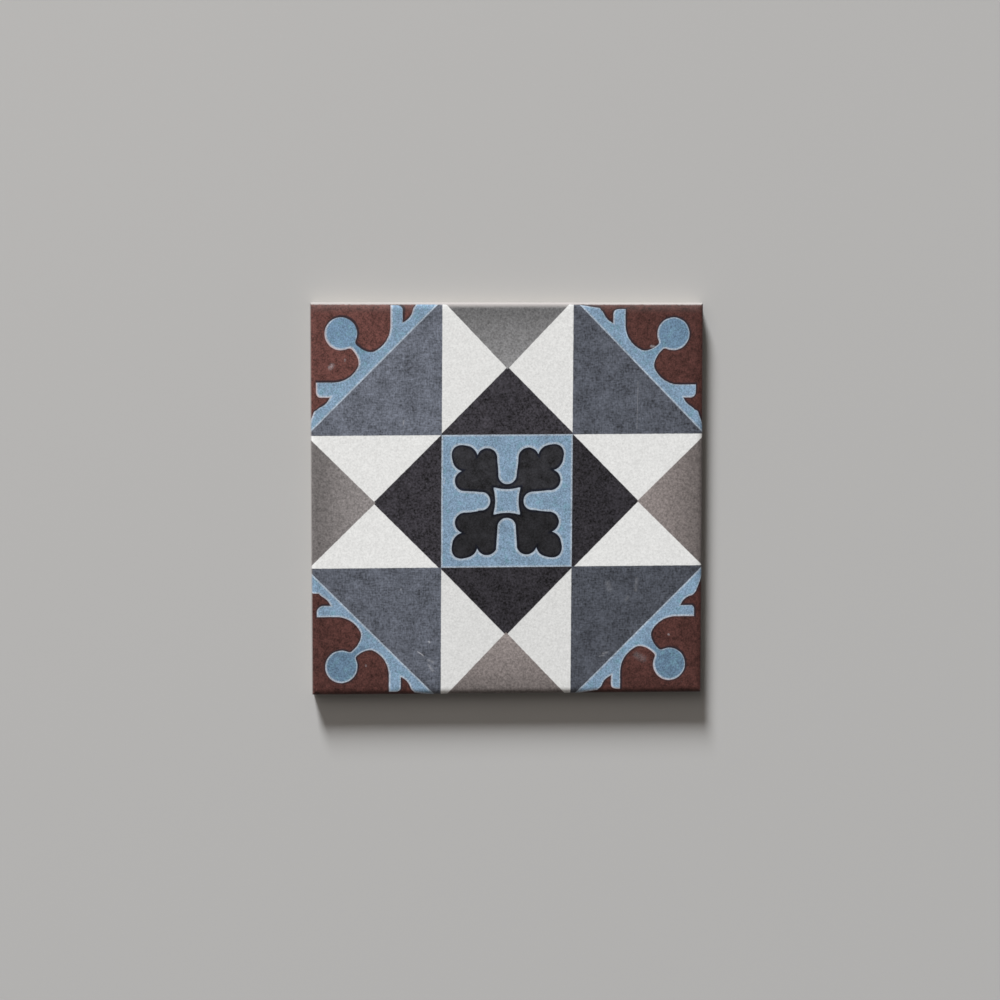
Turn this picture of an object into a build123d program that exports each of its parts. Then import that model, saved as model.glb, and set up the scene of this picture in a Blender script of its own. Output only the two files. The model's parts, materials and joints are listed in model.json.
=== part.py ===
"""A square ceramic wall and floor tile, pressed and fired in one piece.

Sizes are in millimetres. The origin is the middle of the back, level with the lattice
of ribs that the tile lies on. +Z points out of the printed face, and X and Y run along
the edges. The print itself is flat, so the model holds the shape of the pressed body.
"""

from build123d import *
from math import radians, tan
import os

# Outline of the face, and the thickness from the ribs on the back to the face
tile_length = 200.0
tile_width = 200.0
tile_thickness = 9.0

# Pillowed arris, where the face rolls down into the four sides
arris_reach = 3.5
arris_drop = 1.4

# Sides: an upright band below the arris, then the draft that frees the tile from its die
upright_band = 3.0
die_draft = 5.0
back_bevel = 0.6
corner_radius = 0.8

# Keying on the back: rows of shallow pockets with ribs between them, inside a plain margin
pocket_side = 15.5
pocket_depth = 0.6
pocket_draft = 30.0
pocket_corner_cut = 2.0
rib_width = 3.0
back_margin = 9.0

# Heights and widths worked out from the sizes above
arris_foot = tile_thickness - arris_drop
band_foot = arris_foot - upright_band
draft_inset = (band_foot - back_bevel) * tan(radians(die_draft))


def pocket_row(span: float) -> tuple[int, float]:
    """How many pockets fill the back along a span, and the pitch that spaces them evenly."""
    keyed_span = span - 2 * back_margin + rib_width
    count = round(keyed_span / (pocket_side + rib_width))
    return count, keyed_span / count


def pressed_section(span: float) -> Sketch:
    """Section across the tile from one side to the other, where the sides are span apart."""
    side = span / 2
    with BuildSketch() as section:
        with BuildLine():
            Line((0, tile_thickness), (side - arris_reach, tile_thickness))
            EllipticalCenterArc(
                (side - arris_reach, arris_foot), arris_reach, arris_drop, arc_size=90
            )
            Polyline(
                (side, arris_foot),
                (side, band_foot),
                (side - draft_inset, back_bevel),
                (side - draft_inset - back_bevel, 0),
                (0, 0),
            )
            mirror(about=Plane.YZ)
        make_face()
    return section.sketch


count_along_length, pitch_along_length = pocket_row(tile_length)
count_along_width, pitch_along_width = pocket_row(tile_width)

with BuildPart() as tile:
    # The body is what the sections along and across the tile have in common, so the
    # arris, the draft and the bevel run round all four sides and mitre at the corners
    with BuildSketch(Plane.XZ):
        add(pressed_section(tile_length))
    extrude(amount=tile_width, both=True)
    with BuildSketch(Plane.YZ):
        add(pressed_section(tile_width))
    extrude(amount=tile_length, both=True, mode=Mode.INTERSECT)

    # The die has slightly eased corners
    with BuildSketch(Plane.XY):
        RectangleRounded(tile_length, tile_width, corner_radius)
    extrude(amount=tile_thickness, mode=Mode.INTERSECT)

    # The pockets have their corners cut off, and they narrow towards their floors
    with BuildSketch(Plane.XY) as pockets:
        with GridLocations(
            pitch_along_length, pitch_along_width, count_along_length, count_along_width
        ):
            Rectangle(pitch_along_length - rib_width, pitch_along_width - rib_width)
        chamfer(pockets.vertices(), length=pocket_corner_cut)
    extrude(amount=pocket_depth, taper=pocket_draft, mode=Mode.SUBTRACT)

tile.part.label = "tile"

os.makedirs("parts", exist_ok=True)
export_step(tile.part, "parts/tile.step")
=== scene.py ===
"""Looks of the victorian tile: its printed and glazed face, its fired body, and the studio.

The tile lies on its back with the print up. +X is to the right in the print, +Y is
towards its top edge, and +Z points out of the face. Sizes are written in millimetres and
turned into metres where a mesh or a lamp is made.
"""

import json
import logging
from dataclasses import dataclass
from enum import Enum
from math import cos, pi, radians, sin

import bpy
import numpy as np
from mathutils import Matrix, Vector

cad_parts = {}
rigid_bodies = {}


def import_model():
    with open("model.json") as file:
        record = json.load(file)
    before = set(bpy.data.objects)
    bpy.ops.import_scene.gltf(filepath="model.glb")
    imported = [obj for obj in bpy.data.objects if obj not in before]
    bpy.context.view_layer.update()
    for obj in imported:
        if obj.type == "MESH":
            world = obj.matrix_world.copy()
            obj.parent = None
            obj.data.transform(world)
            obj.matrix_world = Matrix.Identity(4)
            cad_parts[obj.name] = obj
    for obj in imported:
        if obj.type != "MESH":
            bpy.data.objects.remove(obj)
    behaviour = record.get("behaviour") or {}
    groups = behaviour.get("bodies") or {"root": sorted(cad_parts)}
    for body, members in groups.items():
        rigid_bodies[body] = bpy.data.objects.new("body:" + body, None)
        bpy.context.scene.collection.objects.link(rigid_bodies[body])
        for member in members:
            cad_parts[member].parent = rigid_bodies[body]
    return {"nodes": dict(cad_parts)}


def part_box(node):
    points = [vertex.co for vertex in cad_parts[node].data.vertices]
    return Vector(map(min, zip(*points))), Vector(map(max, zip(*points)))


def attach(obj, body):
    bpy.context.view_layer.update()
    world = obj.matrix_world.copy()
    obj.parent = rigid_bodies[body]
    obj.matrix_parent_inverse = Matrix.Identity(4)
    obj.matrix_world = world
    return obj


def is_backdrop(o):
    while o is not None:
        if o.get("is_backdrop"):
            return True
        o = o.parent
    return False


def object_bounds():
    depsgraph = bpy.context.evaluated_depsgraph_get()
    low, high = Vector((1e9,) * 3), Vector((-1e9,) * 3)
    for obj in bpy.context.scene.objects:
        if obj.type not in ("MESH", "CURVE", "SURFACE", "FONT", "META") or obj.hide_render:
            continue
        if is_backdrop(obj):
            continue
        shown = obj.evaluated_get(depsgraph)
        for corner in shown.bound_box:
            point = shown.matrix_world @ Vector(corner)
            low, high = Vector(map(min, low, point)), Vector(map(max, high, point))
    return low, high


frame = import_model()

log = logging.getLogger("victorian_tile")

MM = 0.001

Colour = tuple[float, float, float]
Number = "Field | float"

# A colour that varies over a surface is held as the output of a shader node
Paint = bpy.types.NodeSocket


def shown(red: float, green: float, blue: float) -> Colour:
    """Linear colour of a display colour given as 0 to 255.

    Args:
        red, green, blue: The display colour.

    Returns:
        The same colour as the shaders count it.
    """

    def linear(value: float) -> float:
        """One channel, by the usual display curve."""
        part = value / 255
        return part / 12.92 if part <= 0.04045 else ((part + 0.055) / 1.055) ** 2.4

    return linear(red), linear(green), linear(blue)


# Numbers that vary over a surface


@dataclass(frozen=True)
class Field:
    """A number that varies over a surface: the output of a shader node, and its desk."""

    desk: "Desk"
    socket: bpy.types.NodeSocket

    def __add__(self, other: Number) -> "Field":
        """The sum."""
        return self.desk.math("ADD", self, other)

    def __sub__(self, other: Number) -> "Field":
        """The difference."""
        return self.desk.math("SUBTRACT", self, other)

    def __rsub__(self, other: Number) -> "Field":
        """The difference the other way round."""
        return self.desk.math("SUBTRACT", other, self)

    def __mul__(self, other: Number) -> "Field":
        """The product."""
        return self.desk.math("MULTIPLY", self, other)

    def __truediv__(self, other: float) -> "Field":
        """The quotient by a plain number."""
        return self.desk.math("MULTIPLY", self, 1.0 / other)

    def __neg__(self) -> "Field":
        """The number with its sign turned."""
        return self.desk.math("MULTIPLY", self, -1.0)

    def __abs__(self) -> "Field":
        """The number without its sign."""
        return self.desk.math("ABSOLUTE", self)

    def side(self) -> "Field":
        """Plus one where the number is positive and minus one where it is negative."""
        return self.desk.math("SIGN", self)


class Desk:
    """Makes the nodes of one material and joins them up."""

    def __init__(self, name: str) -> None:
        """Starts a material with its shader and its place on the object in millimetres.

        Args:
            name: The material's name.
        """
        self.material = bpy.data.materials.new(name)
        self.material.use_nodes = True
        self.nodes = self.material.node_tree.nodes
        self.links = self.material.node_tree.links
        self.shader = self.nodes["Principled BSDF"]
        scale = self.nodes.new("ShaderNodeVectorMath")
        scale.operation = "SCALE"
        scale.inputs["Scale"].default_value = 1.0 / MM
        self.links.new(self.nodes.new("ShaderNodeTexCoord").outputs["Object"], scale.inputs[0])
        self.place = scale.outputs[0]
        parts = self.nodes.new("ShaderNodeSeparateXYZ")
        self.links.new(self.place, parts.inputs[0])
        self.x, self.y, self.z = (Field(self, output) for output in parts.outputs)

    def feed(self, socket: bpy.types.NodeSocket, value: Number) -> None:
        """Gives an input a varying or a plain number."""
        if isinstance(value, Field):
            self.links.new(value.socket, socket)
        else:
            socket.default_value = value

    def math(self, operation: str, *values: Number) -> Field:
        """One sum, product or other operation on numbers.

        Args:
            operation: Blender's name of the operation.
            values: The numbers, in order.

        Returns:
            The result.
        """
        node = self.nodes.new("ShaderNodeMath")
        node.operation = operation
        for socket, value in zip(node.inputs, values):
            self.feed(socket, value)
        return Field(self, node.outputs[0])

    def length(self, p: Number, q: Number) -> Field:
        """Distance from the origin of the point (p, q)."""
        joined = self.nodes.new("ShaderNodeCombineXYZ")
        self.feed(joined.inputs[0], p)
        self.feed(joined.inputs[1], q)
        node = self.nodes.new("ShaderNodeVectorMath")
        node.operation = "LENGTH"
        self.links.new(joined.outputs[0], node.inputs[0])
        return Field(self, node.outputs["Value"])

    def ramp(self, value: Field, start: float, end: float) -> Field:
        """Smooth step from 0 at start to 1 at end, whichever of the two is the larger.

        Args:
            value: The number to follow.
            start: Where the step begins.
            end: Where it is complete.

        Returns:
            A number from 0 to 1.
        """
        node = self.nodes.new("ShaderNodeMapRange")
        node.interpolation_type = "SMOOTHSTEP"
        self.links.new(value.socket, node.inputs["Value"])
        node.inputs["From Min"].default_value = start
        node.inputs["From Max"].default_value = end
        return Field(self, node.outputs["Result"])

    def cloud(
        self, size: float, seed: float, strength: float = 1, detail: float = 2, drawn: float = 1
    ) -> Field:
        """Soft random variation about 0 with blotches of a given size.

        Args:
            size: Blotch size in millimetres.
            seed: Picks another pattern.
            strength: How far the variation reaches to both sides.
            detail: Number of finer layers on top.
            drawn: How many times longer than high the blotches are; below 1 they stand up.

        Returns:
            The variation: the noise about one half, stretched fourfold.
        """
        node = self.nodes.new("ShaderNodeTexNoise")
        node.noise_dimensions = "4D"
        pulled = self.nodes.new("ShaderNodeVectorMath")
        pulled.operation = "MULTIPLY"
        pulled.inputs[1].default_value = (min(1.0, 1.0 / drawn), min(1.0, drawn), 1.0)
        self.links.new(self.place, pulled.inputs[0])
        self.links.new(pulled.outputs[0], node.inputs["Vector"])
        node.inputs["W"].default_value = seed
        node.inputs["Scale"].default_value = 1.0 / size
        node.inputs["Detail"].default_value = detail
        return self.math("MULTIPLY_ADD", Field(self, node.outputs[0]), 4.0, -2.0) * strength

    def flecks(self, spacing: float, reach: float, share: float, seed: float) -> Field:
        """Scattered round flecks, 1 in the middle of each and 0 between them.

        Args:
            spacing: Mean distance between the cells that may hold a fleck, in millimetres.
            reach: Radius of a fleck in millimetres.
            share: Part of the cells that hold one.
            seed: Picks another scatter.

        Returns:
            A number from 0 to 1.
        """
        node = self.nodes.new("ShaderNodeTexVoronoi")
        node.voronoi_dimensions = "4D"
        self.links.new(self.place, node.inputs["Vector"])
        node.inputs["W"].default_value = seed
        node.inputs["Scale"].default_value = 1.0 / spacing
        chance = self.nodes.new("ShaderNodeSeparateColor")
        self.links.new(node.outputs["Color"], chance.inputs[0])
        chosen = self.ramp(Field(self, chance.outputs[0]), share, share * 0.9)
        near = self.ramp(Field(self, node.outputs["Distance"]), reach / spacing, 0.0)
        return chosen * near

    def plain(self, colour: Colour) -> Paint:
        """A colour that is the same all over, for mixing with others."""
        node = self.nodes.new("ShaderNodeRGB")
        node.outputs[0].default_value = (*colour, 1.0)
        return node.outputs[0]

    def over(self, below: Paint, above: Paint | Colour, cover: Number) -> Paint:
        """Lays one colour over another.

        Args:
            below: The colour underneath.
            above: The colour on top, varying or plain.
            cover: How much the top one hides, from 0 to 1.

        Returns:
            The mixed colour.
        """
        node = self.nodes.new("ShaderNodeMix")
        node.data_type = "RGBA"
        self.feed(node.inputs[0], cover)

        # Inputs 6 and 7 and output 2 are this node's sockets for colours
        self.links.new(below, node.inputs[6])
        if isinstance(above, tuple):
            node.inputs[7].default_value = (*above, 1.0)
        else:
            self.links.new(above, node.inputs[7])
        return node.outputs[2]

    def shade(self, colour: Paint, factor: Field) -> Paint:
        """The colour made lighter or darker by a varying factor about 1."""
        node = self.nodes.new("ShaderNodeVectorMath")
        node.operation = "SCALE"
        self.links.new(colour, node.inputs[0])
        self.feed(node.inputs["Scale"], factor)
        return node.outputs[0]

    def relief(self, height: Field, depth: float) -> None:
        """Gives the surface a fine relief.

        Args:
            height: The height from about -1 to 1.
            depth: What a height of 1 stands for, in millimetres.
        """
        node = self.nodes.new("ShaderNodeBump")
        node.inputs["Strength"].default_value = 1.0
        node.inputs["Distance"].default_value = depth * MM
        self.links.new(height.socket, node.inputs["Height"])
        self.links.new(node.outputs["Normal"], self.shader.inputs["Normal"])


def smaller(first: Field, *others: Number) -> Field:
    """The smallest of several numbers: shapes joined together, as distances to their edges."""
    result = first
    for other in others:
        result = first.desk.math("MINIMUM", result, other)
    return result


def larger(first: Field, *others: Number) -> Field:
    """The largest of several numbers: what shapes have in common, as distances to their edges."""
    result = first
    for other in others:
        result = first.desk.math("MAXIMUM", result, other)
    return result


def disc(p: Field, q: Field, centre: tuple[float, float], radius: float) -> Field:
    """Distance to the edge of a disc, negative inside it."""
    return p.desk.length(p - centre[0], q - centre[1]) - radius


def rounded_common(first: Field, second: Field, radius: float) -> Field:
    """What two shapes have in common, with the corner between their edges rounded.

    The result is the larger distance, held at minus the radius or below, plus the length
    of the two distances counted from minus the radius, where they are above it.

    Args:
        first, second: Distances to the two edges, negative inside.
        radius: Radius of the rounded corner in millimetres.

    Returns:
        The distance to the edge of the common shape.
    """
    inner = smaller(larger(first, second), -radius)
    return inner + first.desk.length(larger(first + radius, 0.0), larger(second + radius, 0.0))


def rounded_joint(first: Field, second: Field, radius: float) -> Field:
    """Two shapes joined together, with the notch between their edges filled to a radius."""
    return -rounded_common(-first, -second, radius)


# Shapes of the print


@dataclass(frozen=True)
class Quarters:
    """A value for each quarter of the print, such as a shift in millimetres or a tone."""

    top_left: float
    top_right: float
    bottom_left: float
    bottom_right: float

    def over(self, sheet: "Sheet") -> Field:
        """The value of the quarter that a point belongs to.

        It is the mean of the four, plus the parts that turn with the side, with the
        height and with both.

        Args:
            sheet: The print.

        Returns:
            The value.
        """
        tl, tr, bl, br = self.top_left, self.top_right, self.bottom_left, self.bottom_right
        sideways = sheet.right * ((tr + br - tl - bl) / 4) + (tl + tr + bl + br) / 4
        upright = sheet.top * ((tl + tr - bl - br) / 4)
        return sideways + upright + sheet.crossed * ((tr + bl - tl - br) / 4)


@dataclass(frozen=True)
class Arms:
    """A value for each of the star's four arms."""

    top: float
    bottom: float
    left: float
    right: float

    def over(self, sheet: "Sheet") -> Field:
        """The value of the arm that a point belongs to.

        Args:
            sheet: The print.

        Returns:
            The value.
        """
        level = sheet.right * ((self.right - self.left) / 2) + (self.left + self.right) / 2
        upright = sheet.top * ((self.top - self.bottom) / 2) + (self.top + self.bottom) / 2
        return upright + (level - upright) * sheet.on_level


class Sheet:
    """The print as it lies on the tile: where a point of the tile is in the drawing."""

    # The print lies a little low and to the left, is stretched and leans slightly
    shift_right = -0.265
    shift_up = -0.915
    stretch_right = 0.9963
    stretch_up = 1.0107
    lean_right = 0.0064
    lean_up = 0.0043

    # The printed edges waver by a little, in waves of this length
    waver = 0.07
    wave = 2.2

    def __init__(self, desk: Desk) -> None:
        """Works out the drawing's own coordinates.

        Args:
            desk: The desk of the material.
        """
        x = desk.x - self.shift_right + desk.cloud(self.wave, 3.0, self.waver, detail=1.0)
        y = desk.y - self.shift_up + desk.cloud(self.wave, 7.0, self.waver, detail=1.0)
        self.desk = desk
        self.u = x / self.stretch_right - y * self.lean_right
        self.v = y / self.stretch_up - x * self.lean_up
        self.right = self.u.side()
        self.top = self.v.side()
        self.crossed = self.right * self.top
        self.p = abs(self.u)
        self.q = abs(self.v)
        self.far = larger(self.p, self.q)
        self.near = smaller(self.p, self.q)
        self.on_level = desk.math("GREATER_THAN", self.p, self.q)


@dataclass(frozen=True)
class StarLayout:
    """The ruled part of the drawing: centre square, four arms and four corner squares."""

    seam: float = 33.46
    outer: float = 102.6
    base_overlap: float = 0.70
    tip_overlap: Arms = Arms(-0.23, 0.19, 0.35, -0.15)
    end_overlap: Arms = Arms(1.02, 0.92, 0.55, 0.64)
    level_drop: float = 0.52
    line_inset: Quarters = Quarters(0.40, 0.65, 0.37, 0.85)
    line_turn: Quarters = Quarters(0.0057, -0.0040, 0.0059, 0.0050)

    @property
    def crossing(self) -> float:
        """How far out the two diagonals of an arm cross."""
        return (self.seam + self.outer) / 2

    def square(self, sheet: Sheet) -> Field:
        """Distance to the border of the centre square, negative inside it."""
        return sheet.far - self.seam

    def corner_square(self, sheet: Sheet) -> Field:
        """Distance to the inner border of a corner square, negative inside it."""
        return self.seam - sheet.near

    def corner_line(self, sheet: Sheet) -> Field:
        """Distance to the line across a corner square, negative outwards of it."""
        line = (self.seam + self.outer - sheet.far - sheet.near) / 2**0.5
        turn = self.line_turn.over(sheet) * (sheet.q - sheet.p)
        return line - self.line_inset.over(sheet) - turn

    def slope(self, sheet: Sheet, base: float) -> Field:
        """Distance to the two sloping edges from the ends of a base to the crossing.

        The level arms cross a little below their middle.

        Args:
            sheet: The print.
            base: How far out the base lies.

        Returns:
            The distance in millimetres, negative on the side of the base.
        """
        rise = self.crossing - base
        steep = ((1 / rise) ** 2 + (1 / self.seam) ** 2) ** -0.5
        across = sheet.p + (abs(sheet.v + self.level_drop) - sheet.p) * sheet.on_level
        return sheet.far * (steep / rise) + across * (steep / self.seam) - (base / rise + 1) * steep

    def diamond(self, sheet: Sheet) -> Field:
        """Distance to the black diamond's edges, with an overlap that changes to the tips."""
        way = (sheet.far - self.seam) / (self.crossing - self.seam)
        overlap = (self.tip_overlap.over(sheet) - self.base_overlap) * way + self.base_overlap
        return self.slope(sheet, self.seam) - overlap

    def end_triangle(self, sheet: Sheet) -> Field:
        """Distance to the triangle at the end of an arm, negative inside it."""
        return self.slope(sheet, self.outer) - self.end_overlap.over(sheet)


@dataclass(frozen=True)
class LeafFigure:
    """The black figure of four leaves in the centre square."""

    body: float = 22.0
    waist: float = 14.5
    waist_slope: float = 0.4
    body_fillet: float = 2.0
    side_lobe: tuple[float, float] = (21.5, 10.2)
    side_lobe_radius: float = 5.4
    tip: float = 21.5
    tip_radius: float = 6.7
    point: float = 24.0
    point_radius: float = 4.4
    point_fillet: float = 1.0
    tongue_start: float = 13.2
    tongue_half_width: float = 4.45
    tongue_flare: float = 0.07
    tongue_drift: float = 0.6
    drift_height: float = 30.0
    window: float = 6.6
    window_sag: float = 0.8
    window_bow: float = 23.0
    sideways: Quarters = Quarters(0.0, 0.8, -0.1, 0.1)
    upright: Quarters = Quarters(0.1, 0.3, 0.7, 0.5)

    def edge(self, sheet: Sheet) -> Field:
        """Distance to the figure's edge, negative inside it.

        Each leaf is a quarter of one block, with a bar that ends in a lobe on both sides
        and a pointed tip. Beside the blue tongues the block slopes over to the bars. The
        tongues and the window with its four inward curves are cut out.

        Args:
            sheet: The print.

        Returns:
            The distance in millimetres.
        """
        p = sheet.p - self.sideways.over(sheet)
        q = sheet.q - self.upright.over(sheet)
        a, b = larger(p, q), smaller(p, q)
        lobe = disc(larger(a, self.side_lobe[0]), b, self.side_lobe, self.side_lobe_radius)
        beside = (a - self.waist) * self.waist_slope - b + self.tongue_half_width
        beside = smaller(a - self.waist, beside * (1 + self.waist_slope**2) ** -0.5)
        block = larger(a - self.body, beside)
        tip = rounded_joint(
            disc(a, b, (self.tip, self.tip), self.tip_radius),
            disc(a, b, (self.point, self.point), self.point_radius),
            self.point_fillet,
        )
        figure = smaller(rounded_joint(block, lobe, self.body_fillet), tip)
        return larger(figure, -self.tongue(sheet), -self.opening(sheet))

    def tongue(self, sheet: Sheet) -> Field:
        """Distance to the blue tongues, negative inside them; the top one drifts to the right."""
        above = smaller(larger(sheet.v / self.drift_height, 0.0), 1.0)
        p = abs(sheet.u - above * self.tongue_drift)
        a, b = larger(p, sheet.q), smaller(p, sheet.q)
        out = a - self.tongue_start
        half_width = larger(out, 0.0) * self.tongue_flare + self.tongue_half_width
        return sheet.desk.length(smaller(out, 0.0), b) - half_width

    def opening(self, sheet: Sheet) -> Field:
        """Distance to the window in the middle, negative inside it."""
        centre = self.window - self.window_sag + self.window_bow
        bow = disc(sheet.far, sheet.near, (centre, 0.0), self.window_bow)
        return larger(sheet.far - self.window, -bow)


@dataclass(frozen=True)
class Halves:
    """Values for both halves of each corner: along the level arm and the upright arm."""

    level: Quarters
    upright: Quarters

    def over(self, sheet: Sheet, on_level: Field) -> Field:
        """The value of the half that a point belongs to.

        Args:
            sheet: The print.
            on_level: 1 in the half with the level arm, 0 in the other.

        Returns:
            The value.
        """
        level, upright = self.level.over(sheet), self.upright.over(sheet)
        return upright + (level - upright) * on_level


@dataclass(frozen=True)
class CornerOrnament:
    """The brown ground of a corner square with the blue ball, arms and hooks in it."""

    ball: float = 84.7
    ball_radius: float = 8.34
    lobe: tuple[float, float] = (3.9, -10.95)
    lobe_radius: float = 13.9
    lobe_fillet: float = 4.2
    neck_half_width: float = 1.75
    neck_fillet: float = 1.2
    arm_outer: float = -31.1
    arm_end: float = 12.55
    arm_corner: float = 3.5
    strip_fillet: float = 1.6
    hook: tuple[float, float] = (13.2, -28.1)
    hook_radius: float = 8.1
    hook_limit: float = -36.2
    level_taper: float = 0.40
    upright_taper: float = 0.16
    sideways: Quarters = Quarters(-0.05, 0.32, -0.33, 0.05)
    upright: Quarters = Quarters(0.36, -0.60, -1.40, -1.17)
    lobe_shift: Halves = Halves(
        Quarters(-0.2, -0.6, -1.15, -0.75), Quarters(-0.1, 0.9, 0.75, -0.15)
    )
    inner_shift: Halves = Halves(
        Quarters(0.55, -0.65, -0.45, 0.55), Quarters(-0.25, 0.25, 0.55, -0.35)
    )
    outer_shift: Halves = Halves(Quarters(-1.0, -1.15, -0.1, 1.0), Quarters(-0.4, 0.0, 0.5, 1.0))
    end_shift: Halves = Halves(Quarters(0.8, -0.1, 0.1, 2.0), Quarters(2.3, 0.7, 1.4, 0.9))
    border: Halves = Halves(Quarters(12.9, 12.4, 15.0, 12.8), Quarters(14.6, 12.9, 13.4, 12.7))

    def edge(self, sheet: Sheet, slip: Number = 0.0) -> Field:
        """Distance to the edge of the brown ground, negative inside it.

        Each half of a corner has a round lobe beside the neck, a block above the arm, a
        hook below it and a strip past its end, which runs on along the tile's edge and
        tapers off. The ball and the neck are left free.

        Args:
            sheet: The print.
            slip: How far the brown lies to the left of and below its place.

        Returns:
            The distance in millimetres.
        """
        desk = sheet.desk
        p = abs(sheet.u + slip) - self.ball - self.sideways.over(sheet)
        q = abs(sheet.v + slip) - self.ball - self.upright.over(sheet)
        on_level = desk.math("GREATER_THAN", p, q)
        a, b = larger(p, q), smaller(p, q)
        inner = self.inner_shift.over(sheet, on_level)
        round_a, round_b = a - self.lobe_shift.over(sheet, on_level), b - inner
        lobe = disc(round_a, round_b, self.lobe, self.lobe_radius)
        neck = self.neck_half_width - (a - b) / 2**0.5
        block = larger(self.lobe[0] - round_a, self.lobe[1] - self.lobe_radius - round_b)
        ground = smaller(rounded_common(lobe, neck, self.lobe_fillet), block)
        low = b - self.outer_shift.over(sheet, on_level)
        hook = larger(disc(a, low, self.hook, self.hook_radius), low - self.arm_outer)
        end = self.end_shift.over(sheet, on_level) + self.arm_end
        past_arm = larger(end - a, self.hook_limit - low)
        taper = on_level * (self.level_taper - self.upright_taper) + self.upright_taper
        edge_strip = (
            larger(self.hook_limit - low, 0.0) * taper + self.border.over(sheet, on_level) - a
        )
        below = rounded_joint(hook, past_arm, self.arm_corner)
        shape = smaller(ground, rounded_joint(edge_strip, below, self.strip_fillet))
        around_ball = self.ball_radius - desk.length(p, q)
        return rounded_common(shape, around_ball, self.neck_fillet)


@dataclass(frozen=True)
class Mark:
    """A pale speck or scratch on the glaze, from one point of the tile to another.

    Points are in millimetres from the middle of the face.
    """

    start: tuple[float, float]
    end: tuple[float, float]
    half_width: float
    strength: float

    def cover(self, desk: Desk) -> Field:
        """How much of the mark shows at each point.

        The distance to the stretch between the two points is the length of what is left
        of the way from the start after the part along the stretch, held between its ends.

        Args:
            desk: The desk of the material.

        Returns:
            A number from 0 to the mark's strength.
        """
        dx, dy = desk.x - self.start[0], desk.y - self.start[1]
        run = (self.end[0] - self.start[0], self.end[1] - self.start[1])
        span = (run[0] ** 2 + run[1] ** 2) ** 0.5
        way = (run[0] / span, run[1] / span)
        held = smaller(larger(dx * way[0] + dy * way[1], 0.0), span)
        away = desk.length(dx - held * way[0], dy - held * way[1])
        return desk.ramp(away, self.half_width * 2, 0.0) * self.strength


# Finishes


class Ink(tuple, Enum):
    """The print's colours, as they show on the photographed tile."""

    WHITE = shown(226, 226, 225)
    TAUPE = shown(127, 119, 117)
    COOL_TAUPE = shown(122, 124, 126)
    SLATE = shown(90, 94, 104)
    BLACK = shown(47, 45, 50)
    LEAF_BLACK = shown(46, 46, 50)
    NAVY = shown(22, 25, 38)
    BLUE = shown(129, 154, 178)
    BALL_BLUE = shown(105, 132, 157)
    TEAL = shown(114, 152, 168)
    BLUE_RIM = shown(171, 182, 194)
    BROWN = shown(85, 53, 49)
    OVERLAP = shown(38, 33, 41)
    GAP = shown(172, 184, 196)
    ROSE_GAP = shown(196, 180, 184)
    # Pale colour of the bare rim, also laid on as painted highlight along the top edge
    RIM = shown(158, 153, 151)
    SCUFF = shown(200, 200, 205)


@dataclass(frozen=True)
class EdgeFade:
    """A change towards the tile's edge: where it starts and ends inside it, and how strong."""

    start: float
    end: float
    strength: float = 1.0

    def over(self, way_out: Field, half_side: float) -> Field:
        """How far the change has come at each point.

        Args:
            way_out: How far out from the middle a point lies.
            half_side: How far out the edge lies.

        Returns:
            A number from 0 to the strength.
        """
        step = way_out.desk.ramp(way_out, half_side - self.start, half_side - self.end)
        return step * self.strength


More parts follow.
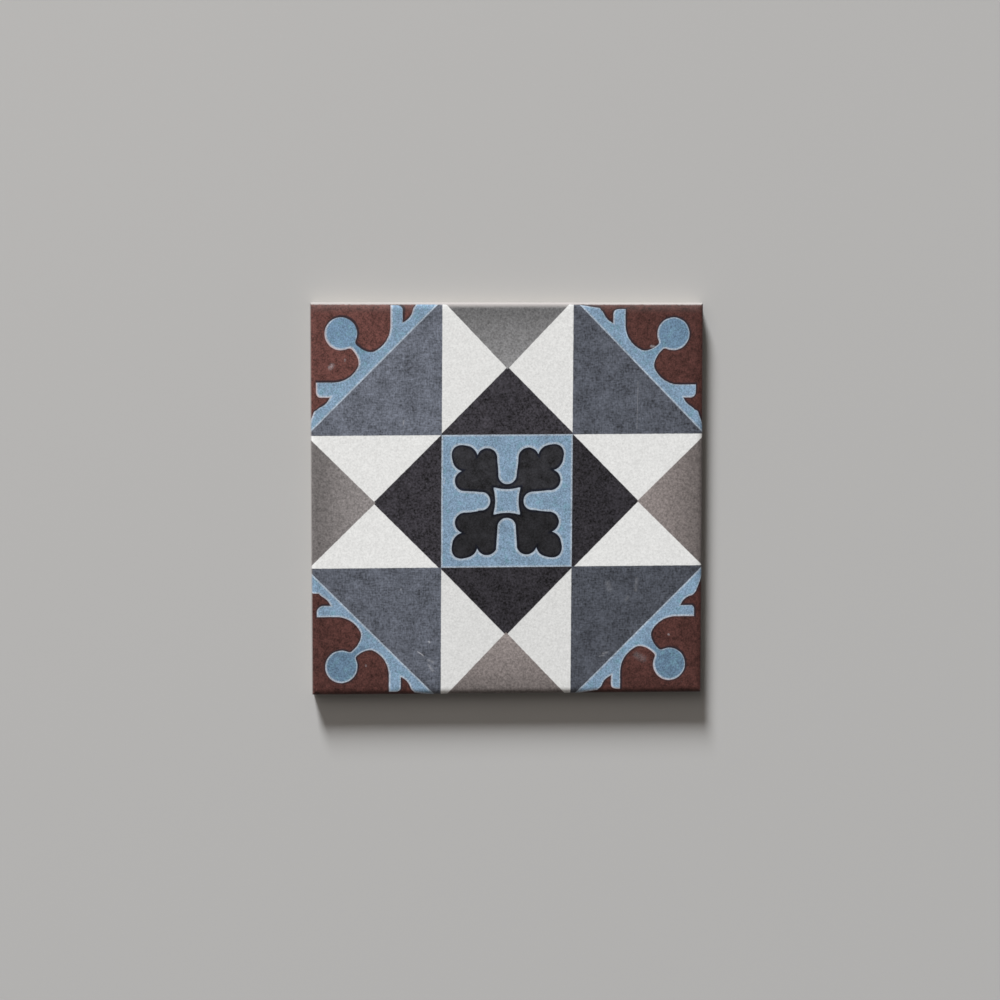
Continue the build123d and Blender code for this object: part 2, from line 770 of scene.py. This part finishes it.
@dataclass(frozen=True)
class PrintedGlaze:
    """Satin glaze over the printed star, with its mottling, marks and orange-peel relief."""

    half_side: float
    star: StarLayout = StarLayout()
    leaves: LeafFigure = LeafFigure()
    corners: CornerOrnament = CornerOrnament()
    roughness: float = 0.46
    peel_depth: float = 0.006

    # How softly the inks end, and the pale gaps that are left between them
    edge_softness: float = 0.2
    brown_softness: float = 0.25
    square_gap: float = 0.1
    line_gap: float = 0.2
    leaf_gap: float = 0.15

    # The second layer of brown lies a little off the first and spreads
    brown_slip: Quarters = Quarters(0.45, 0.20, 0.15, 0.30)
    brown_spread: float = 0.12

    # Towards the edges the inks burn darker, and along the top edge white dulls.
    # Taupe and brown turn paler towards the top edge, a painted highlight where the window light
    # strikes the arris;
    # a pale line along the top and left edges is partly bare glaze and partly painted highlight
    burn: EdgeFade = EdgeFade(16.0, 2.0, 0.13)
    white_dulling: EdgeFade = EdgeFade(3.6, 1.8, -0.2)
    taupe_top_highlight: EdgeFade = EdgeFade(3.2, 1.0, 0.8)
    brown_top_highlight: EdgeFade = EdgeFade(6.0, 2.0, 0.08)
    top_rim_and_glint: EdgeFade = EdgeFade(1.4, 0.6)
    left_rim_and_glint: EdgeFade = EdgeFade(0.6, 0.3, 0.6)

    # How much the ruled inks vary with the grain, the blotches and the weave
    white_grain: float = 0.14
    black_blotches: float = 0.35
    taupe_grain: float = 0.45
    slate_grain: float = 0.50
    slate_blotches: float = 0.30
    slate_weave: float = 0.26

    # How light each ink is in each part of the print. For the white, black, slate, brown, ball and
    # leaf inks this is partly
    # their own tone and partly painted light: lighter towards the top and left, darker towards the
    # bottom; taupe pales towards the middle too
    taupe_paling: tuple[float, float] = (2.43, -0.0165)
    white_tone_and_shading: Arms = Arms(1.00, 0.94, 1.03, 1.02)
    black_tone_and_shading: Arms = Arms(1.30, 0.94, 1.29, 0.92)
    taupe_tone: Arms = Arms(0.97, 1.05, 1.02, 1.03)
    taupe_coolness: Arms = Arms(0.75, 0.0, 0.3, 0.0)
    leaf_tone_and_shading: Quarters = Quarters(0.94, 0.90, 0.64, 0.65)
    slate_tone_and_shading: Quarters = Quarters(1.28, 0.87, 1.05, 0.69)
    brown_tone_and_shading: Quarters = Quarters(1.44, 0.95, 0.92, 0.88)
    ball_tone_and_shading: Quarters = Quarters(1.13, 1.04, 0.85, 0.88)
    marks: tuple[Mark, ...] = (
        Mark((-54.5, -46.0), (-54.5, -46.3), 0.4, 0.40),
        Mark((-40.2, -73.0), (-40.0, -73.2), 0.4, 0.75),
        Mark((-46.0, -78.0), (-43.0, -80.2), 0.25, 0.75),
        Mark((-40.5, -82.5), (-38.2, -83.5), 0.5, 0.35),
        Mark((-40.5, -85.0), (-38.2, -88.0), 0.5, 0.35),
        Mark((-32.2, 8.0), (-32.0, 11.0), 0.25, 0.45),
        Mark((-53.0, 38.0), (-52.8, 40.3), 0.3, 0.45),
        Mark((66.3, 36.0), (66.8, 60.0), 0.2, 0.22),
        Mark((51.5, -43.5), (52.5, -46.5), 1.2, 0.14),
        Mark((66.5, -41.0), (66.0, -47.0), 0.7, 0.16),
        Mark((62.0, -50.5), (61.0, -52.0), 0.6, 0.17),
        Mark((49.2, -79.6), (51.4, -79.0), 0.45, 0.30),
        Mark((47.4, -81.0), (49.8, -80.6), 0.35, 0.24),
        Mark((-90.0, 67.0), (-88.9, 68.2), 0.9, 0.42),
        Mark((-82.5, 70.4), (-82.4, 71.4), 0.35, 0.40),
        Mark((83.0, -70.0), (83.2, -70.1), 0.4, 0.55),
        Mark((66.5, -80.5), (70.0, -82.5), 1.4, 0.16),
        Mark((-72.5, -85.0), (-72.4, -85.2), 0.4, 0.40),
        Mark((73.6, 78.0), (75.2, 77.6), 0.55, 0.55),
    )

    def made(self) -> bpy.types.Material:
        """Builds the material.

        Returns:
            The finished material.
        """
        desk = Desk("printed_glaze")
        sheet = Sheet(desk)
        colour = self.ruled_part(sheet)
        colour = self.figures(sheet, colour)
        colour = self.worn_and_glinting(desk, colour)
        desk.links.new(colour, desk.shader.inputs["Base Color"])
        uneven = desk.cloud(6.0, seed=31.0, strength=0.03) + self.roughness
        desk.feed(desk.shader.inputs["Roughness"], uneven)
        desk.shader.inputs["IOR"].default_value = 1.5
        desk.shader.inputs["Specular IOR Level"].default_value = 0.45
        fine = desk.cloud(1.1, seed=11.0, detail=1.0)
        coarse = desk.cloud(3.5, seed=13.0, strength=0.8, detail=1.0)
        desk.relief(fine + coarse, self.peel_depth)
        return desk.material

    def edge_burn(self, desk: Desk) -> Field:
        """How dark the inks turn in the fire towards the tile's edges, as a factor."""
        return 1.0 - self.burn.over(larger(abs(desk.x), abs(desk.y)), self.half_side)

    def cover(self, edge: Field) -> Field:
        """How much ink covers a point, from its distance to the ink's edge."""
        return edge.desk.ramp(edge, self.edge_softness, -self.edge_softness)

    def ruled_part(self, sheet: Sheet) -> Paint:
        """Lays the white, the diamond, the four end triangles and the slate corners.

        Args:
            sheet: The print.

        Returns:
            The colour so far.
        """
        desk = sheet.desk
        grain = desk.cloud(0.9, seed=5.0)
        blotches = desk.cloud(9.0, seed=17.0, detail=3.0)
        level_weave = desk.cloud(0.7, seed=19.0, detail=1.0, drawn=5.0)
        weave = level_weave + desk.cloud(0.7, seed=21.0, detail=1.0, drawn=0.2)

        dulling = self.white_dulling.over(desk.y, self.half_side) + 1.0
        # Besides the ink's own tone, the white's tone by arm holds painted shade: the bottom arm is
        # darker
        tone = (grain * self.white_grain + 1.0) * self.white_tone_and_shading.over(sheet) * dulling
        white = desk.shade(desk.plain(Ink.WHITE), tone)

        cloudy = blotches * self.black_blotches + grain + 1.0
        # Besides the ink's own tone, the black's tone by arm holds painted light: top and left arms
        # lighter, bottom and right darker
        black = desk.shade(desk.plain(Ink.BLACK), cloudy * self.black_tone_and_shading.over(sheet))

        level, change = self.taupe_paling
        paling = (sheet.far * change + level) * self.taupe_tone.over(sheet)
        taupe = desk.over(desk.plain(Ink.TAUPE), Ink.COOL_TAUPE, self.taupe_coolness.over(sheet))
        tone = (grain * self.taupe_grain + 1.0) * paling * self.edge_burn(desk)
        taupe = desk.shade(taupe, tone)
        # Taupe turns paler towards the top edge: painted highlight where the window light strikes
        # the arris
        taupe = desk.over(taupe, Ink.RIM, self.taupe_top_highlight.over(desk.y, self.half_side))

        patchy = blotches * self.slate_blotches + weave * self.slate_weave
        patchy = patchy + grain * self.slate_grain + 1.0
        # Besides the ink's own tone, the slate's tone by quarter holds painted light: lightest at
        # the top left, darkest at the bottom right
        tone = patchy * self.slate_tone_and_shading.over(sheet) * self.edge_burn(desk)
        slate = desk.shade(desk.plain(Ink.SLATE), tone)

        colour = desk.over(white, black, self.cover(self.star.diamond(sheet)))
        colour = desk.over(colour, taupe, self.cover(self.star.end_triangle(sheet)))
        return desk.over(colour, slate, self.cover(self.star.corner_square(sheet)))

    def figures(self, sheet: Sheet, colour: Paint) -> Paint:
        """Lays the blue grounds, the brown corners and the black leaves.

        Args:
            sheet: The print.
            colour: The colour so far.

        Returns:
            The colour with the figures.
        """
        desk = sheet.desk
        square = self.star.square(sheet)
        line = self.star.corner_line(sheet)
        leaf = self.leaves.edge(sheet)
        brown = self.corners.edge(sheet)
        slipped = self.corners.edge(sheet, self.brown_slip.over(sheet)) - self.brown_spread

        colour = desk.over(colour, Ink.GAP, self.cover(square))
        colour = desk.over(colour, Ink.ROSE_GAP, self.cover(line))

        # Blue fills what is inside the square or the corner and off the other inks
        in_square = smaller(self.square_gap - square, leaf - self.leaf_gap)
        depth = larger(in_square, smaller(self.line_gap - line, brown))
        grain = desk.cloud(0.75, seed=23.0, strength=0.45)
        mottle = grain + desk.cloud(7.0, seed=29.0, strength=0.15) + 1.0
        # Besides the ink's own tone, the ball's tone by quarter holds painted light: lighter at the
        # top, darker at the bottom
        ball = desk.shade(desk.plain(Ink.BALL_BLUE), self.ball_tone_and_shading.over(sheet))
        blue = desk.over(ball, Ink.BLUE, desk.ramp(sheet.near, start=77.0, end=68.0))
        patches = desk.ramp(desk.cloud(2.5, seed=33.0), start=-0.2, end=1.4)
        blue = desk.over(blue, Ink.TEAL, patches)
        blue = desk.over(blue, Ink.BLUE_RIM, desk.ramp(depth, start=1.1, end=0.4) * 0.85)
        colour = desk.over(colour, desk.shade(blue, mottle), self.cover(-depth))

        # Brown is darkest at its edge, where it overlaps the blue
        blotches = desk.cloud(2.5, seed=37.0, strength=0.40, detail=3.0)
        mottle = blotches + desk.cloud(0.75, seed=41.0, strength=0.62) + 1.0
        # Besides the ink's own tone, the brown's tone by quarter holds painted light: lightest at
        # the top left
        tone = mottle * self.brown_tone_and_shading.over(sheet) * self.edge_burn(desk)
        oxblood = desk.shade(desk.plain(Ink.BROWN), tone)
        oxblood = desk.over(oxblood, Ink.OVERLAP, desk.ramp(brown, start=-1.1, end=-0.1) * 0.9)
        # Brown turns a little paler towards the top edge: painted highlight where the window light
        # strikes the arris
        oxblood = desk.over(oxblood, Ink.RIM, self.brown_top_highlight.over(desk.y, self.half_side))
        brown_cover = desk.ramp(slipped, self.brown_softness, -self.brown_softness)
        colour = desk.over(colour, oxblood, brown_cover)

        # The leaves are bluish along their edges and smudged inside
        along_edge = desk.ramp(leaf, start=-1.8, end=-0.9)
        inner = desk.over(desk.plain(Ink.LEAF_BLACK), Ink.NAVY, along_edge)
        blotches = desk.cloud(4.5, seed=43.0, strength=0.60, detail=3.0)
        smudges = blotches + desk.cloud(0.9, seed=47.0, strength=0.50) + 1.0
        # Besides the ink's own tone, the leaves' tone by quarter holds painted shade: darker in the
        # bottom half
        inner = desk.shade(inner, smudges * self.leaf_tone_and_shading.over(sheet))
        return desk.over(colour, inner, self.cover(larger(leaf + self.leaf_gap, square)))

    def worn_and_glinting(self, desk: Desk, colour: Paint) -> Paint:
        """Adds a pale line along the top and left edges, partly bare glaze and partly painted
        highlight, then pale flecks and larger marks.

        Args:
            desk: The desk of the material.
            colour: The colour so far.

        Returns:
            The colour with its marks.
        """
        # The pale line along the top and left edges is partly bare glaze and partly painted
        # highlight from the window light
        ragged = desk.cloud(1.2, seed=67.0, strength=0.2)
        top = self.top_rim_and_glint.over(desk.y + ragged, self.half_side)
        rim_and_glint = larger(top, self.left_rim_and_glint.over(-desk.x, self.half_side))
        colour = desk.over(colour, Ink.RIM, rim_and_glint)
        scuffs = self.marks[0].cover(desk)
        for mark in self.marks[1:]:
            scuffs = larger(scuffs, mark.cover(desk))
        broken = desk.ramp(desk.cloud(0.7, seed=61.0), start=-0.6, end=0.6) * 0.7 + 0.3
        dots = desk.flecks(spacing=3.2, reach=0.4, share=0.25, seed=1.0) * 0.14
        return desk.over(colour, Ink.SCUFF, larger(dots, scuffs * broken))


@dataclass(frozen=True)
class FiredBody:
    """Bare fired clay of the sides and the back, with glaze run over near the face."""

    clay: Colour = shown(154, 145, 134)
    kiln_dust: Colour = shown(196, 190, 181)
    scorch: Colour = shown(108, 98, 89)
    glaze_edge: Colour = shown(98, 90, 88)
    grain_strength: float = 0.14
    blotch_strength: float = 0.09
    speck_cover: float = 0.5
    dust_cover: float = 0.75
    track_cover: float = 0.30
    track_half_spacing: float = 22.0
    dry_roughness: float = 0.85
    glazed_roughness: float = 0.50
    relief_depth: float = 0.02

    def made(self, rim: float) -> bpy.types.Material:
        """Builds the material.

        Args:
            rim: Height of the lower edge of the glaze on the sides, in millimetres.

        Returns:
            The finished material.
        """
        desk = Desk("fired_clay")
        grain = desk.cloud(0.8, seed=51.0)
        blotches = desk.cloud(14.0, seed=53.0, detail=3.0)
        mottle = grain * self.grain_strength + blotches * self.blotch_strength + 1.0
        clay = desk.shade(desk.plain(self.clay), mottle)
        specks = desk.flecks(spacing=2.2, reach=0.4, share=0.35, seed=2.0)
        colour = desk.over(clay, self.scorch, specks * self.speck_cover)

        # Whitish kiln wash clings to the ribs of the back, and the rollers leave grey tracks
        on_ribs = desk.ramp(desk.z, start=0.25, end=0.02)
        wash = desk.ramp(desk.cloud(5.0, seed=57.0, detail=4.0), start=-0.3, end=0.9)
        colour = desk.over(colour, self.kiln_dust, on_ribs * wash * self.dust_cover)
        off_track = desk.math("PINGPONG", desk.y + blotches * 1.5, self.track_half_spacing)
        track = desk.ramp(off_track, start=2.5, end=0.5)
        colour = desk.over(colour, self.scorch, on_ribs * track * self.track_cover)

        # Glaze that ran over the edge ends in an uneven line on the sides
        line = desk.z + desk.cloud(3.0, seed=59.0, strength=0.35, detail=3.0)
        glazed = desk.ramp(line, start=rim - 0.9, end=rim - 0.2)
        colour = desk.over(colour, self.glaze_edge, glazed)
        desk.links.new(colour, desk.shader.inputs["Base Color"])
        gain = self.glazed_roughness - self.dry_roughness
        desk.feed(desk.shader.inputs["Roughness"], glazed * gain + self.dry_roughness)
        desk.shader.inputs["IOR"].default_value = 1.5
        desk.relief(grain + blotches * 0.5 - specks, self.relief_depth)
        return desk.material


# Pieces


@dataclass
class PrintedFace:
    """The glazed and printed skin over the face, the arris and the top of the sides."""

    half_length: float
    half_width: float
    top: float
    arris_reach: float = 3.5
    arris_drop: float = 1.4
    corner_radius: float = 0.8
    proud: float = 0.04
    skirt: float = 1.0
    tuck: float = 0.15
    tuck_drop: float = 0.05
    cell: float = 2.0
    arris_cells: int = 14
    skirt_cells: int = 4

    def rings(self, half: float) -> tuple[np.ndarray, np.ndarray, np.ndarray]:
        """Rings of the skin from the middle outwards.

        On the face the rings are evenly spaced. Across the arris a ring lies at the sine
        of its angle times the reach outwards and at the cosine times the drop up. Down the
        side it stays at the full width, and the last ring is tucked in behind the surface.

        Args:
            half: Half of the tile's length or width in millimetres.

        Returns:
            How far out each ring lies, its height, and the way along the skin to it.
        """
        flat = half - self.arris_reach
        out = np.linspace(0.0, flat, round(flat / self.cell) + 1)
        height = np.full_like(out, self.top + self.proud)
        angle = np.linspace(0.0, pi / 2, self.arris_cells + 1)[1:]
        out = np.append(out, flat + (self.arris_reach + self.proud) * np.sin(angle))
        foot = self.top - self.arris_drop
        height = np.append(height, foot + (self.arris_drop + self.proud) * np.cos(angle))
        down = np.linspace(0.0, self.skirt, self.skirt_cells + 1)[1:]
        out = np.append(out, np.full_like(down, half + self.proud))
        height = np.append(height, foot - down)
        out = np.append(out, half + self.proud - self.tuck)
        height = np.append(height, foot - self.skirt - self.tuck_drop)
        steps = np.hypot(np.diff(out), np.diff(height))
        return out, height, np.append(0.0, np.cumsum(steps))

    def mesh(self) -> bpy.types.Mesh:
        """Lays the rings out as one square grid.

        A grid point belongs to the ring of its larger step from the middle, x or y. It
        takes that ring's height, and its place is the way along the skin in x and in y,
        scaled so that the ring has its own width. Points past the die's eased corner are
        pulled back onto it. Each cell is cut along the diagonal that points at the middle,
        so the arris meets in a clean mitre at the corners.

        Returns:
            The mesh in metres, with a map that unrolls the skin onto the unit square.
        """
        out_x, height, way_x = self.rings(self.half_length)
        out_y, _, way_y = self.rings(self.half_width)
        last = len(out_x) - 1
        step = np.arange(-last, last + 1)
        i, j = np.meshgrid(step, step, indexing="ij")
        ring = np.maximum(abs(i), abs(j))
        scale_x = np.divide(out_x, way_x, out=np.ones_like(out_x), where=way_x > 0)
        scale_y = np.divide(out_y, way_y, out=np.ones_like(out_y), where=way_y > 0)
        x = np.sign(i) * way_x[abs(i)] * scale_x[ring]
        y = np.sign(j) * way_y[abs(j)] * scale_y[ring]
        x, y = self.eased(x, y)
        points = np.stack([x, y, height[ring]], axis=-1).reshape(-1, 3) * MM

        count = 2 * last + 1
        number = np.arange(count * count).reshape(count, count)
        low = number[:-1, :-1].ravel()
        right = number[1:, :-1].ravel()
        high = number[1:, 1:].ravel()
        left = number[:-1, 1:].ravel()
        side = np.sign(step[:-1] + 0.5)
        rising = (side[:, None] * side[None, :]).ravel() > 0
        cut_up = np.stack([low, right, high, low, high, left], 1)
        cut_down = np.stack([low, right, left, right, high, left], 1)
        cells = np.where(rising[:, None], cut_up, cut_down)
        triangles = np.concatenate([cells[:, :3], cells[:, 3:]])

        mesh = bpy.data.meshes.new("printed_face")
        mesh.vertices.add(len(points))
        mesh.vertices.foreach_set("co", points.astype(np.float32).ravel())
        mesh.loops.add(triangles.size)
        mesh.loops.foreach_set("vertex_index", triangles.astype(np.int32).ravel())
        mesh.polygons.add(len(triangles))
        mesh.polygons.foreach_set("loop_start", np.arange(0, triangles.size, 3, dtype=np.int32))
        mesh.polygons.foreach_set("use_smooth", np.ones(len(triangles), bool))
        mesh.update(calc_edges=True)
        half_chart = 0.499
        spread_x = 0.5 + half_chart * np.sign(i) * way_x[abs(i)] / way_x[-1]
        spread_y = 0.5 + half_chart * np.sign(j) * way_y[abs(j)] / way_y[-1]
        unrolled = np.stack([spread_x, spread_y], axis=-1).reshape(-1, 2)
        chart = mesh.uv_layers.new(name="OFBake")
        chart.data.foreach_set("uv", unrolled[triangles.ravel()].astype(np.float32).ravel())
        mesh.validate()
        return mesh

    def eased(self, x: np.ndarray, y: np.ndarray) -> tuple[np.ndarray, np.ndarray]:
        """Pulls points past the eased corners of the die back onto them.

        Args:
            x, y: Places of the points in millimetres.

        Returns:
            The places with no point outside the rounded corners.
        """
        over_x = abs(x) - (self.half_length - self.corner_radius)
        over_y = abs(y) - (self.half_width - self.corner_radius)
        reach = np.hypot(over_x, over_y)
        limit = self.corner_radius + self.proud
        outside = (over_x > 0) & (over_y > 0) & (reach > limit)
        keep = np.where(outside, limit / np.maximum(reach, 1e-9), 1.0)
        x = np.where(outside, np.sign(x) * (abs(x) - over_x * (1 - keep)), x)
        y = np.where(outside, np.sign(y) * (abs(y) - over_y * (1 - keep)), y)
        return x, y

    def build(self, glaze: PrintedGlaze) -> None:
        """Makes the piece, dresses it and lets it ride on the tile.

        Args:
            glaze: The finish.
        """
        piece = bpy.data.objects.new("printed_face", self.mesh())
        bpy.context.scene.collection.objects.link(piece)
        piece.data.materials.append(glaze.made())
        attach(piece, "root")
        log.info("printed face: %d triangles", len(piece.data.polygons))


@dataclass
class PressedBody:
    """The pressed and fired tile itself, which the CAD gives."""

    node: bpy.types.Object

    def build(self, clay: FiredBody, rim: float) -> None:
        """Gives the body its fired clay.

        Args:
            clay: The finish.
            rim: Height of the lower edge of the glaze on the sides, in millimetres.
        """
        material = clay.made(rim)
        for place in self.node.material_slots:
            place.material = material
        log.info("pressed body: %d triangles", len(self.node.data.polygons))


@dataclass
class Studio:
    """The floor, the light and the camera."""

    floor_colour: Colour = shown(181, 180, 179)
    floor_half: float = 8.0
    camera_place: tuple[float, float, float] = (-66.5, 83.0, 1209.9)
    camera_aim: tuple[float, float, float] = (-3.7, -0.5, 7.6)
    lens: float = 85.0
    sensor: float = 36.0

    # Each light hangs some metres off, some degrees above the floor and some to the left
    window_spread: float = 13.7
    window_strength: float = 7.25
    window_colour: Colour = (0.965, 0.985, 1.0)
    window_place: tuple[float, float, float] = (4.0, 19.0, 14.5)
    lamp_side: float = 1.2
    lamp_power: float = 6.0
    lamp_place: tuple[float, float, float] = (1.7, 50.0, 35.0)
    warm: Colour = (1.0, 0.93, 0.86)

    # The room lights the tile a little, and shows pale behind it
    sky: float = 0.12
    backdrop: float = 0.75
    backdrop_colour: Colour = (0.97, 0.97, 0.96)

    def build(self) -> None:
        """Sets up everything round the tile."""
        self.floor()
        self.window()
        self.ceiling()
        self.surroundings()
        self.camera()
        bpy.context.scene.view_settings.view_transform = "Standard"
        log.info("studio: floor, window light, sky and camera")

    def floor(self) -> None:
        """Lays a large plain floor under the tile."""
        half = self.floor_half
        mesh = bpy.data.meshes.new("floor")
        points = [(-half, -half, 0.0), (half, -half, 0.0), (half, half, 0.0), (-half, half, 0.0)]
        mesh.from_pydata(points, [], [(0, 1, 2, 3)])
        mesh.update()
        plane = bpy.data.objects.new("floor", mesh)
        bpy.context.scene.collection.objects.link(plane)
        material = bpy.data.materials.new("floor")
        material.use_nodes = True
        shader = material.node_tree.nodes["Principled BSDF"]
        shader.inputs["Base Color"].default_value = (*self.floor_colour, 1.0)
        shader.inputs["Roughness"].default_value = 0.9
        shader.inputs["Specular IOR Level"].default_value = 0.2
        mesh.materials.append(material)
        plane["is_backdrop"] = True

    def window(self) -> None:
        """Lets in soft low light from beyond the print's top edge and a little to the left.

        It comes from far off, so it falls evenly on the floor, and it is kept out of the
        gloss, so it leaves no glare across the glaze.
        """
        light = bpy.data.lights.new("window", "SUN")
        light.angle = radians(self.window_spread)
        light.energy = self.window_strength
        light.color = self.window_colour
        self.hang(light, *self.window_place).visible_glossy = False

    def ceiling(self) -> None:
        """Adds a large dim square lamp higher up, which the gloss shows as a sheen."""
        light = bpy.data.lights.new("ceiling", "AREA")
        light.shape = "SQUARE"
        light.size = self.lamp_side
        light.energy = self.lamp_power
        light.color = self.warm
        self.hang(light, *self.lamp_place)

    def hang(
        self, light: bpy.types.Light, distance: float, height: float, turn: float
    ) -> bpy.types.Object:
        """Hangs a light so that it faces the tile.

        Args:
            light: The light.
            distance: How far from the tile it hangs, in metres.
            height: Its angle above the floor in degrees.
            turn: How far it stands to the left of the tile's top edge, in degrees.

        Returns:
            The light's object.
        """
        rise, side = radians(height), radians(turn)
        towards = Vector((-sin(side) * cos(rise), cos(side) * cos(rise), sin(rise)))
        thing = bpy.data.objects.new(light.name, light)
        bpy.context.scene.collection.objects.link(thing)
        thing.location = towards * distance
        thing.rotation_mode = "QUATERNION"
        thing.rotation_quaternion = (-towards).to_track_quat("-Z", "Y")
        return thing

    def surroundings(self) -> None:
        """Fills the room with even soft light."""
        world = bpy.data.worlds.new("room")
        bpy.context.scene.world = world
        world.use_nodes = True
        nodes, links = world.node_tree.nodes, world.node_tree.links
        light = nodes["Background"]
        light.inputs["Color"].default_value = (*self.warm, 1.0)
        light.inputs["Strength"].default_value = self.sky
        seen = nodes.new("ShaderNodeBackground")
        seen.inputs["Color"].default_value = (*self.backdrop_colour, 1.0)
        seen.inputs["Strength"].default_value = self.backdrop
        mix = nodes.new("ShaderNodeMixShader")
        links.new(nodes.new("ShaderNodeLightPath").outputs["Is Camera Ray"], mix.inputs[0])
        links.new(light.outputs[0], mix.inputs[1])
        links.new(seen.outputs[0], mix.inputs[2])
        links.new(mix.outputs[0], nodes["World Output"].inputs["Surface"])

    def camera(self) -> None:
        """Places the camera nearly straight above, with the print's top edge up."""
        place = Vector(self.camera_place) * MM
        ahead = (Vector(self.camera_aim) * MM - place).normalized()
        right = ahead.cross(Vector((0.0, 1.0, 0.0))).normalized()
        up = right.cross(ahead)
        turn = Matrix((right, up, -ahead)).transposed().to_4x4()
        view = bpy.data.cameras.new("camera")
        view.lens = self.lens
        view.sensor_width = self.sensor
        thing = bpy.data.objects.new("camera", view)
        bpy.context.scene.collection.objects.link(thing)
        thing.matrix_world = Matrix.Translation(place) @ turn
        bpy.context.scene.camera = thing


def corners() -> list[list[float]]:
    """Lowest and highest corner of the shown object as plain lists."""
    return [list(corner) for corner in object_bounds()]


def main() -> None:
    """Builds the studio and the tile."""
    logging.basicConfig(level=logging.INFO, format="%(message)s")
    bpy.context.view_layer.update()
    low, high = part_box("tile")
    Studio().build()
    face = PrintedFace(high.x / MM, high.y / MM, high.z / MM)
    rim = face.top - face.arris_drop - face.skirt
    PressedBody(frame["nodes"]["tile"]).build(FiredBody(), rim)
    face.build(PrintedGlaze(high.y / MM))


if __name__ == "__main__":
    main()
